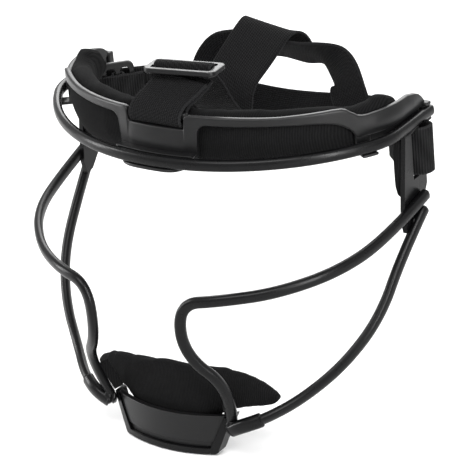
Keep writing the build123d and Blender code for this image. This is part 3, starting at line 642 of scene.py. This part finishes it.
# %% Moulded band
spans = ((0, SHELL_END, 190), (15, 30, 60), (86, 110, 50), (142, SHELL_END, 24))
stations = np.unique(np.round(np.concatenate([np.linspace(*span) for span in spans]), 2))
s = np.concatenate([-stations[:0:-1], stations])
a = np.abs(s)
low, top = level_line(s, LOW), level_line(s, TOP) - SAG * ramp(-s, 88, 96)
plate = ramp(a, 100, 112) * ramp(a, 150, 140)
panel = ramp(a, 22, 14)
rings = band(s, low, top, 0.0, SHELL_WALL, shell_curve, 0.9, 11, swell=1.0 * plate + 1.1 * panel)
dress(lay_rings("moulded_band", rings, "frame"), SHELL, "shell_plastic", "brow_shell")

# %% [markdown]
# Small moulded features hold the shell on the bar: a ledge and a hook under the middle, a lip
# under each side plate and a bracket round each end. They are short bands on the same curve,
# each given by where it starts and ends, its two levels and its two insets.

# %% Hooks, lips and brackets
def feature(name, start, end, low, top, outer, inner, corner=0.7, run_out=1.2, flat_out=0.0):
    """A short piece of band. Towards its ends it draws in, and its reach shrinks by flat_out."""
    s = np.linspace(start, end, 28)
    draw = 1 - dome(ramp(np.minimum(s - start, end - s), 0, run_out), 0.05)
    outer, inner = outer + draw * (0.6 + flat_out), inner - draw * 0.6
    rings = band(s, low + draw * 0.5, top - draw * 0.5, outer, inner, shell_curve, corner, 5)
    return dress(lay_rings(name, rings, "frame"), SHELL, "shell_plastic")


HOOK_LOW, HOOK_TOP = -4.65, -3.05
feature("strap_bar", -17.0, 17.0, 17.6, 21.6, 2.3, 5.3, 1.4)
feature("middle_hook", -16.8, 16.8, HOOK_LOW, HOOK_TOP, -9.6, SHELL_WALL, 0.6, 9.0, 4.5)
feature("bar_seat", -21.6, 21.6, 1.3, 2.9, -4.85, 2.0, 0.3, 0.8)
SIDE_FEATURES = (
    ("lip", 100.2, 108.2, HOOK_LOW, HOOK_TOP, -7.2, SHELL_WALL),
    ("lip_stem", 100.2, 108.2, -4.2, 5.0, 0.3, 2.9),
    ("side_lip", 101.5, 149.0, -1.0, 4.5, 1.3, 2.9),
    ("bracket", 149.3, 154.0, HOOK_LOW, 5.4, 1.3, 3.6),
    ("bracket_under", 149.3, 154.0, HOOK_LOW, HOOK_TOP, -2.4, SHELL_WALL),
    ("bracket_over", 149.3, 154.0, 3.1, 5.2, -2.4, SHELL_WALL),
)
for side, hand in SIDES.items():
    for name, start, end, *section in SIDE_FEATURES:
        feature(f"{name}_{side}", *sorted((hand * start, hand * end)), *section)

# %% [markdown]
# ## Stuffed pads
# A pad is a foam core pulled tight inside sewn cloth, so its faces crown and its edges roll.
# Blender's cloth solver gives that shape: a plain closed form is remeshed evenly, blown up a
# little with gravity off, and the move of every point is capped so that the pad stays in its
# place behind the shell. Afterwards it is subdivided once.

# %% Cloth helper
FRAMES, PRESSURE = 20, 4.0


def settled(piece):
    """The piece's mesh with its modifiers applied; none of them is left on it."""
    graph = bpy.context.evaluated_depsgraph_get()
    mesh = bpy.data.meshes.new_from_object(piece.evaluated_get(graph))
    piece.modifiers.clear()
    piece.data = mesh
    mesh.name = piece.name
    return mesh


def blown_up(piece, cap):
    """New place = old place + the move of 20 frames of cloth under pressure, cut to the cap."""
    mesh = piece.data
    rest, moved = np.empty(len(mesh.vertices) * 3), np.empty(len(mesh.vertices) * 3)
    mesh.vertices.foreach_get("co", rest)
    cloth = piece.modifiers.new("cloth", "CLOTH")
    cloth.settings.quality = 5
    cloth.settings.use_pressure = True
    cloth.settings.uniform_pressure_force = PRESSURE
    cloth.settings.effector_weights.gravity = 0
    for number in range(1, FRAMES + 1):
        bpy.context.scene.frame_set(number)
    solved = piece.evaluated_get(bpy.context.evaluated_depsgraph_get())
    solved.to_mesh().vertices.foreach_get("co", moved)
    move = (moved - rest).reshape(-1, 3)
    size = np.linalg.norm(move, axis=1, keepdims=True)
    move *= np.minimum(1, cap * MM / np.maximum(size, 1e-9))
    solved.to_mesh_clear()
    piece.modifiers.clear()
    bpy.context.scene.frame_set(1)
    mesh.vertices.foreach_set("co", rest + move.ravel())
    print(f"{piece.name}: largest move {size.max() / MM:.1f} mm, capped at {cap}")


def puffed(name, rings, voxel, cap, smooth_rounds=2):
    """Even remesh, cloth under pressure, a light smoothing and one subdivision."""
    piece = lay_rings(name, rings, None)
    remesh = piece.modifiers.new("even", "REMESH")
    remesh.mode, remesh.voxel_size = "VOXEL", voxel * MM
    settled(piece)
    blown_up(piece, cap)
    ease = piece.modifiers.new("ease", "SMOOTH")
    ease.factor, ease.iterations = 0.5, smooth_rounds
    finer = piece.modifiers.new("finer", "SUBSURF")
    finer.levels = finer.render_levels = 1
    final = settled(piece)
    final.polygons.foreach_set("use_smooth", [True] * len(final.polygons))
    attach(piece, "frame")
    return piece


# %% [markdown]
# The brow pad fills the back of the shell. Its top shows above the rim and rises in a hump at
# each temple, its face swells out through the windows, and in the middle it steps back to
# leave room for the front strap. On the wearer's right it hangs lower.

# %% Brow pad
PAD_HALF, PAD_ROUND, PAD_MIDDLE, PAD_BACK, PAD_SEAM = 140.0, 5.0, 9.4, 14.4, 0.8
PAD_TOP = (
    (0, 23.0), (50, 22.6), (75, 21.6), (90, 20.0), (100, 18.0), (108, 17.6), (116, 18.8), (123, 19.3),
    (130, 17.8), (134.5, 13.4), (137.5, 8.0), (139, 5.0),
)
PAD_LOW = (
    (0, -7.8), (40, -7.0), (80, -6.9), (90, -7.4), (100, -6.4), (110, -4.0), (125, -2.8), (134, -1.0),
    (139, 2.0),
)
s = np.linspace(-139, 139, 170)
a = np.abs(s)
end = dome(ramp(a, PAD_HALF, PAD_HALF - PAD_ROUND), 0.05)
face = 4.4 - 0.9 * ramp(a, 45, 65) + 3.9 * ramp(a, 20.5, 18)
bulge = 2.3 * ramp(a, 28, 38) * ramp(a, 98, 86)
pad_low = level_line(s, PAD_LOW) - 3.0 * ramp(np.abs(s + 60), 44.2, 10.2) + PAD_SEAM
pad_top = level_line(s, PAD_TOP) - PAD_SEAM
outer, inner = PAD_MIDDLE - (PAD_MIDDLE - face) * end, PAD_MIDDLE + (PAD_BACK - PAD_MIDDLE) * end
rings = band(s, pad_low, pad_top, outer, inner, shell_curve, 2.8, 11, swell=bulge)
pad = puffed("brow_cushion", rings, 3.6, 1.2)
dress(pad, PAD_CLOTH, "pad_fabric", "brow_pad_facing", "brow_pad_foam", "brow_pad_lining")

# %% [markdown]
# The chin pad is a shallow cup of the same kind on its own circle, narrow at its tips. It is
# worn, so its upper edge slumps a little on the wearer's right.

# %% Chin pad
CHIN_RADIUS, CHIN_CENTRE, CHIN_SEAM = 96.0, 6.0, 0.5
CHIN_TOP = ((0, -107.4), (32, -108.0), (46, -112.0), (56, -119.0), (60.5, -125.0), (61.5, -127.0))
CHIN_LOW = (
    (0, -149.0), (18, -145.0), (24, -141.0), (31, -134.0), (47, -131.0), (58, -129.6), (61.5, -128.0),
)


def chin_curve(s):
    """A circle in plan, read by the distance from its middle."""
    angle = s / CHIN_RADIUS
    normal = np.stack([np.sin(angle), -np.cos(angle)], -1)
    return normal * CHIN_RADIUS + (0, CHIN_CENTRE), normal


s = np.linspace(-61.0, 61.0, 90)
slump = 3.8 * ramp(-s, 4, 28) * ramp(-s, 60.5, 51.5)
chin_low, chin_top = level_line(s, CHIN_LOW) + CHIN_SEAM, level_line(s, CHIN_TOP) - CHIN_SEAM - slump
rings = band(s, chin_low, chin_top, 0.7, 8.2, chin_curve, 2.8, 11)
cup = puffed("chin_cushion", rings, 2.8, 1.2)
dress(cup, CHIN_CLOTH, "pad_fabric", "chin_pad_facing", "chin_pad_foam", "chin_pad_lining")

# %% [markdown]
# The temple pads are small upright blocks inside the temple plates, in the box of their CAD
# solids. The dark wings behind the chin plate are stiffened cloth, and only need soft edges.

# %% Temple pads and chin wings
for side in SIDES:
    low_corner, high_corner = (np.array(c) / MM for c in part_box(f"temple_pad_{side}"))
    middle, size = (low_corner + high_corner) / 2, high_corner - low_corner
    z = np.linspace(-1, 1, 28)
    line = middle + np.stack([z * 0, z * 0, z * size[2] / 2], -1)
    draw = np.sqrt(np.clip(1 - np.abs(z) ** 4, 0.06, 1))
    section = oval(size[1], size[0], 24, 3.4)[None] * draw[:, None, None]
    rings = carry(line, np.tile([0.0, 1.0, 0.0], (28, 1)), section)
    pad = puffed(f"temple_cushion_{side}", rings, 1.3, 0.4, smooth_rounds=1)
    dress(pad, CHIN_CLOTH, "pad_fabric", f"temple_pad_{side}")
    rolled(f"chin_wing_{side}", f"chin_tab_{side}", CHIN_CLOTH, "pad_fabric", 0.5)

# %% [markdown]
# ## Straps
# A strap is a flat section carried through the places where the webbing was seen, with a
# width direction at each of them. Both are cubic curves, so a slack ribbon twists evenly.

# %% Strap helper
def strap(name, rows, wide, body, material, node_name, thick=WEB_THICK, count=90):
    """Rows are (x, y, z, width direction); both go along a cubic curve, with a flat pill on it."""
    rows = np.asarray(rows, float)
    rows = through(np.concatenate([rows[:, :3], unit(rows[:, 3:])], 1), count)
    section = pill(wide / 2, thick)
    rings = carry(rows[:, :3], rows[:, 3:], section)
    piece = lay_rings(name, rings, body, around=np.append(section[:, 0], section[0, 0]))
    return dress(piece, material, "webbing", node_name)


# %% [markdown]
# The nape strap joins the two temple loops low behind the head and sags in its middle. Its
# ends reach a little into the loops, thinner and narrower, as where webbing is sewn on.

# %% Nape strap
STRAP_Z = -15.9
NAPE_HALF = np.array([
    (75.4, 26.3, 0.0, 0, 0, 1), (66.2, 31.0, -0.5, 0, 0, 1), (54.5, 34.0, -1.3, 0, 0, 1),
    (39.9, 35.5, -3.0, 0, 0, 1), (20.4, 36.6, -5.2, 0, 0, 1), (0.0, 36.9, -6.2, 0, 0, 1),
]) + (0, 0, STRAP_Z, 0, 0, 0)
nape = np.concatenate([NAPE_HALF, NAPE_HALF[-2::-1] * (-1, 1, 1, -1, 1, 1)])
strap("nape_web", nape, 24.7, "harness", SIDE_WEB, "nape_strap", thick=1.5)

# %% [markdown]
# The crown strap arches from temple to temple. It is slack, so it leans and waves, and the
# two sides aren't alike.

# %% Crown strap
CROWN = (
    (50.0, 31.8, -20.5, 0.97, -0.10, 0.20), (46.5, 29.0, -10.0, 0.95, -0.15, 0.25),
    (44.6, 28.9, -1.8, 0.90, -0.15, 0.40), (42.7, 30.8, 4.2, 0.77, -0.22, 0.60),
    (35.0, 35.0, 9.3, 0.64, -0.32, 0.70), (23.8, 36.0, 12.7, 0.54, -0.59, 0.59),
    (13.0, 36.5, 12.1, 0.35, -0.66, 0.66), (0.0, 37.5, 12.0, 0.0, -0.75, 0.66),
    (-12.0, 36.8, 13.0, -0.30, -0.62, 0.72), (-23.0, 35.3, 11.0, -0.50, -0.50, 0.70),
    (-31.9, 32.8, 6.0, -0.68, -0.30, 0.67), (-35.5, 28.9, -0.7, -0.80, -0.15, 0.58),
    (-39.5, 28.5, -9.5, -0.93, -0.12, 0.30), (-46.0, 32.2, -20.0, -0.97, -0.10, 0.20),
)
strap("crown_web", CROWN, SIDE_WIDE, "harness", SIDE_WEB, "crown_strap", count=130)

# %% [markdown]
# The front webbing comes up from the shell's notch, round the strap bar and through the slide
# buckle. The buckle lies askew, so places on it are given in its own three directions.

# %% The buckle's own directions
YAW, PITCH = np.radians(10.0), np.radians(-5.0)
buckle_across = np.array([np.cos(YAW), np.sin(YAW), 0.0])
buckle_along = np.array([-np.sin(YAW) * np.cos(PITCH), np.cos(YAW) * np.cos(PITCH), np.sin(PITCH)])
buckle_up = np.cross(buckle_across, buckle_along)
buckle_centre = np.array([1.4, -49.9, 34.3])
LEVEL = np.array([1.0, 0.0, 0.0])
half_turned = buckle_across + LEVEL


def on_buckle(along, up):
    """A row at a place beside the buckle's middle plane, with the buckle's own width direction."""
    return (*(buckle_centre + buckle_along * along + buckle_up * up), *buckle_across)


# %% Front loop
FRONT_LOOP = (
    on_buckle(-2.8, -4.4), (0.8, -64.0, 26.4, *half_turned), (0, -73.4, 22.9, *LEVEL),
    (0, -75.9, 20.4, *LEVEL), (0, -76.3, 17.4, *LEVEL), (0, -75.2, 15.6, *LEVEL),
    (0, -73.2, 15.2, *LEVEL), (0, -71.2, 15.6, *LEVEL), (0, -70.1, 17.4, *LEVEL),
    (0, -69.6, 20.4, *LEVEL), (0.6, -60.5, 24.6, *half_turned), on_buckle(2.6, -4.6),
)
loop_web = strap("front_web", FRONT_LOOP, FRONT_WIDE, None, FRONT_WEB, "front_loop")
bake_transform(loop_web)
TURN = (
    (-2.75, -2.9), (-2.75, 0.2), (-2.3, 1.9), (-1.0, 2.35), (1.0, 2.35), (2.3, 1.9), (2.75, 0.2),
    (2.75, -2.9),
)
front_turn = [on_buckle(*row) for row in TURN]
strap("front_turn", front_turn, FRONT_WIDE, "front_buckle", FRONT_WEB, "front_buckle_turn", count=50)

# %% [markdown]
# From the buckle a slack ribbon drops inside the pad, turns up and climbs over the crown
# strap to the sewn patch behind it. It leans to one side, as a strap that nobody wears does.
# It belongs to the frame in front and to the harness behind, and is attached to neither.

# %% Top ribbon
RIBBON_WIDE = 28.4
RIBBON = (
    on_buckle(6.6, -4.4), (0.3, -36.8, 23.0, *LEVEL), (0.0, -28.0, 9.6, *LEVEL),
    (-0.3, -21.2, 1.4, *LEVEL), (-0.8, -15.4, -2.6, 1.0, -0.03, -0.02),
    (-1.2, -11.2, 0.6, 1.0, -0.07, -0.06), (-1.5, -8.8, 6.2, 0.99, -0.06, -0.11),
    (-1.6, -4.6, 11.8, 0.98, -0.04, -0.17), (-1.6, 3.0, 16.0, 0.96, 0.02, -0.22),
    (-1.5, 12.0, 20.0, 0.95, 0.08, -0.24), (-2.0, 24.0, 24.6, 0.95, 0.14, -0.25),
    (-2.9, 33.0, 25.8, 0.94, 0.19, -0.27), (-3.9, 40.0, 22.0, 0.93, 0.22, -0.28),
    (-1.9, 45.8, 16.3, 0.97, 0.12, -0.18), (-1.0, 48.5, 11.2, 0.98, 0.08, -0.15),
)
top_web = strap("top_web", RIBBON, RIBBON_WIDE, None, FRONT_WEB, "top_strap", count=130)
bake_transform(top_web)

# %% [markdown]
# Round each rear rail the webbing is folded back on itself, and in the fold it is gathered into
# ribs. In plan the fold is a bent line like a bar's; its width direction is simply upright. A
# slide buckle sits on the fold's inner tail, with its own turn of webbing over its middle bar.

# %% Temple loops
LOOP_PLAN = (
    (73.9, 17.6), (89.7, 2.4), (92.7, 1.1), (96.2, 2.0), (101.6, 5.0), (102.4, 11.6), (97.6, 13.4),
    (93.2, 13.4), (87.6, 16.6), (79.0, 23.9), (74.4, 27.0),
)
TAIL_START, TAIL_TURN, SLIDE_MIDDLE, TURN_END = (91.3, 4.1), np.radians(43), 8.8, -1.3
section = pill(SIDE_WIDE / 2, WEB_THICK)
for side, hand in SIDES.items():
    plan = np.array(LOOP_PLAN) * (hand, 1.0)
    line = bent_line(np.concatenate([plan, np.full((len(plan), 1), STRAP_Z)], 1), 110)
    rings = carry(line, np.tile(UPRIGHT, (len(line), 1)), section)
    fold = lay_rings(f"temple_fold_{side}", rings, None, around=np.append(section[:, 0], section[0, 0]))
    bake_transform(fold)
    dress(fold, RIB_WEB, "webbing", f"temple_loop_{side}")

    run = np.array([-hand * np.cos(TAIL_TURN), np.sin(TAIL_TURN)])
    out = np.array([hand * np.sin(TAIL_TURN), np.cos(TAIL_TURN)])
    middle = np.array(TAIL_START) * (hand, 1.0) + run * SLIDE_MIDDLE
    steps = [(TURN[0][0], TURN_END), *TURN[1:-1], (TURN[-1][0], TURN_END)]
    rows = [(*(middle + run * along + out * up), STRAP_Z, *UPRIGHT) for along, up in steps]
    turn_node = f"temple_buckle_turn_{side}"
    strap(f"temple_turn_{side}", rows, SIDE_WIDE, f"temple_buckle_{side}", SIDE_WEB, turn_node, count=50)

# %% [markdown]
# ## Patch and thread
# The crown strap and the top ribbon are closed behind the head by a sewn patch, which follows
# the crown strap's own curve. A stitch is a short fat capsule; one mesh holds a whole row,
# built by placing the same few points with every stitch's own three directions.

# %% Stitches
STITCH_LONG, STITCH_THICK, STITCH_PITCH, STITCH_LIFT = 2.3, 0.55, 3.0, 0.9


def stitch_row(name, places, along, up, body):
    """Point = place + along * a + side * b + up * c, for the points (a, b, c) of one capsule."""
    places, along = np.asarray(places, float), unit(np.asarray(along, float))
    up = unit(np.broadcast_to(np.asarray(up, float), places.shape))
    side = np.cross(up, along)
    a = np.array([-1.0, -0.8, 0.8, 1.0])[:, None] * STITCH_LONG / 2
    r = np.array([0.25, 1.0, 1.0, 0.25])[:, None] * STITCH_THICK / 2
    angle = np.linspace(0, 2 * np.pi, 6, endpoint=False)
    capsule = np.stack(np.broadcast_arrays(a, r * np.cos(angle), r * np.sin(angle)), -1)
    directions = np.stack([along, side, up], 1)
    points = places[:, None, None] + np.einsum("rpk,nkx->nrpx", capsule, directions)
    i, j = np.meshgrid(np.arange(3), np.arange(6), indexing="ij")
    k = (j + 1) % 6
    quads = np.stack([i * 6 + j, i * 6 + k, (i + 1) * 6 + k, (i + 1) * 6 + j], -1).reshape(-1, 4)
    caps = np.array([[0, 1, 2, 3], [0, 3, 4, 5], [18, 19, 20, 21], [18, 21, 22, 23]])
    faces = (np.concatenate([quads, caps])[None] + np.arange(len(places))[:, None, None] * 24).reshape(-1, 4)
    mesh = bpy.data.meshes.new(name)
    mesh.from_pydata((points.reshape(-1, 3) * MM).tolist(), [], faces.tolist())
    piece = bpy.data.objects.new(name, mesh)
    bpy.context.scene.collection.objects.link(piece)
    mesh.polygons.foreach_set("use_smooth", [True] * len(mesh.polygons))
    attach(piece, body)
    print(f"{name}: {len(places)} stitches")
    return dress(piece, THREAD, "thread")


def along_run(start, end, up):
    """Stitch places and directions every pitch along a straight run, lifted off the cloth."""
    long = np.linalg.norm(end - start)
    ahead = (end - start) / long
    at = np.arange(STITCH_PITCH / 2, long, STITCH_PITCH)[:, None]
    return start + ahead * at + up * STITCH_LIFT, np.broadcast_to(ahead, (len(at), 3))


# %% Patch
PATCH_LIFT, PATCH_WIDE = 1.85, 21.0
BOX_SIDE, BOX_UP = 6.5, 8.5
patch_up = unit(np.array([0.0, 0.66, 0.75]))
patch_across = unit(np.array([0.0, -0.75, 0.66]))
patch_rows = np.array([
    (-7.8, 37.05, 12.65, -0.195, -0.665, 0.70), (0.0, 37.5, 12.0, 0.0, -0.75, 0.66),
    (8.45, 36.85, 12.07, 0.23, -0.69, 0.66),
])
patch_rows[:, :3] += patch_up * PATCH_LIFT
strap("rear_patch_web", patch_rows, PATCH_WIDE, "harness", FRONT_WEB, "rear_patch", count=40)


def on_patch(side, up):
    """A corner of the sewn box, as shares of its half sizes."""
    return patch_rows[1, :3] + LEVEL * side * BOX_SIDE + patch_across * up * BOX_UP


# %% Box stitching
BOX = (
    ((-1, -1), (1, -1)), ((-1, 1), (1, 1)), ((-1, -1), (-1, 1)), ((1, -1), (1, 1)),
    ((-1, -1), (1, 1)), ((-1, 1), (1, -1)),
)
runs = [along_run(on_patch(*start), on_patch(*end), patch_up) for start, end in BOX]
places, directions = (np.concatenate(part) for part in zip(*runs))
box_stitch = stitch_row("patch_stitches", places, directions, patch_up, "harness")
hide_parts("rear_stitching")

# %% [markdown]
# ## Floor, light and camera
# A pale floor turns into the backdrop without an edge. One large soft lamp stands above and
# in front, a narrow strip at each side gives the bars their long highlights, a lamp behind
# lights the harness, and the world is a dim even fill. To the camera, and in what gloss
# reflects, the world is plain white.

# %% Backdrop
FLOOR_Z, FLOOR_HALF, FILL = -0.1545, 6.0, 0.3
world = bpy.data.worlds.new("studio")
bpy.context.scene.world = world
world.use_nodes = True
tree = world.node_tree
tree.nodes.clear()
fill = node(tree, "ShaderNodeBackground", None, Color=(1, 1, 1, 1), Strength=FILL)
seen = node(tree, "ShaderNodeBackground", None, Color=(1, 1, 1, 1), Strength=1.0)
rays = node(tree, "ShaderNodeLightPath").outputs
direct = sums(tree, "ADD", rays["Is Camera Ray"], rays["Is Glossy Ray"])
direct = sums(tree, "ADD", direct, rays["Is Transmission Ray"])
mix = node(tree, "ShaderNodeMixShader", None, _0=direct, _1=fill.outputs[0], _2=seen.outputs[0])
tree.links.new(mix.outputs[0], node(tree, "ShaderNodeOutputWorld").inputs[0])

floor_mesh = bpy.data.meshes.new("floor")
floor_corners = [(x * FLOOR_HALF, y * FLOOR_HALF, FLOOR_Z) for x, y in ((-1, -1), (1, -1), (1, 1), (-1, 1))]
floor_mesh.from_pydata(floor_corners, [], [(0, 1, 2, 3)])
floor = bpy.data.objects.new("floor", floor_mesh)
bpy.context.scene.collection.objects.link(floor)
paper, _, _ = new_finish("paper", (0.86, 0.86, 0.86), 0.9, specular=0.5)
floor_mesh.materials.append(paper)

# %% Lamps
LAMPS = (
    ("key", (0.25, -0.75, 1.15), (0, 0, -0.05), (0.9, 0.7), 14),
    ("left strip", (-0.95, -0.45, 0.25), (0, -0.05, -0.06), (0.12, 1.1), 13),
    ("right strip", (0.95, -0.45, 0.30), (0, -0.05, -0.06), (0.12, 1.1), 13),
    ("back", (-0.3, 1.0, 0.55), (0, 0, -0.03), (1.2, 0.7), 15),
)


def lamp(name, place, aim, size, power):
    """A soft rectangular lamp at a place, turned to the point it lights."""
    light = bpy.data.lights.new(name, "AREA")
    light.shape, light.size, light.size_y, light.energy = "RECTANGLE", size[0], size[1], power
    made = bpy.data.objects.new(name, light)
    back = unit(np.array(place) - np.array(aim))
    side = unit(np.cross(UPRIGHT, back))
    turned = np.eye(4)
    turned[:3] = np.stack([side, np.cross(back, side), back, place], 1)
    made.matrix_world = Matrix(turned.tolist())
    bpy.context.scene.collection.objects.link(made)


for row in LAMPS:
    lamp(*row)
print("lamps:", [row[0] for row in LAMPS])

# %% [markdown]
# The camera stands where the photographer stood. Its place and turn were fitted to the ends
# of the bars and the edges of the straps, with the guard's own symmetry as the main clue.

# %% Camera
camera = bpy.data.objects.new("camera", bpy.data.cameras.new("camera"))
bpy.context.scene.collection.objects.link(camera)
bpy.context.scene.camera = camera
camera.data.lens, camera.data.sensor_width, camera.data.clip_end = 194.73, 36.0, 20.0
camera.matrix_world = Matrix((
    (0.83951, -0.16405, 0.51799, 0.67249),
    (0.53672, 0.39881, -0.74356, -0.98371),
    (-0.08460, 0.90224, 0.42286, 0.47945),
    (0, 0, 0, 1),
))
bpy.context.scene.view_settings.view_transform = "Standard"
print(f"camera: {camera.data.lens:.1f} mm lens, {camera.matrix_world.translation.length:.2f} m away")

# %% [markdown]
# ## Last looks
# What stays of the imported model, such as the hook tape, gets the finish of its slot.

# %% Finishes of the imported nodes
LOOKS = {
    "webbing": SIDE_WEB, "hook_tape": TAPE, "thread": THREAD, "buckle_plastic": BUCKLE,
    "shell_plastic": SHELL,
}
for node_object in frame["nodes"].values():
    if not node_object.data.materials or node_object.data.materials[0] is None:
        node_object.data.materials.append(SHELL)
for entry in frame["record"]["subparts"]:
    for slot in frame["nodes"][entry["node"]].material_slots:
        slot.material = LOOKS.get(entry["material_slot"], slot.material)

print("slots with a finish of this script:", sorted(LOOKS))
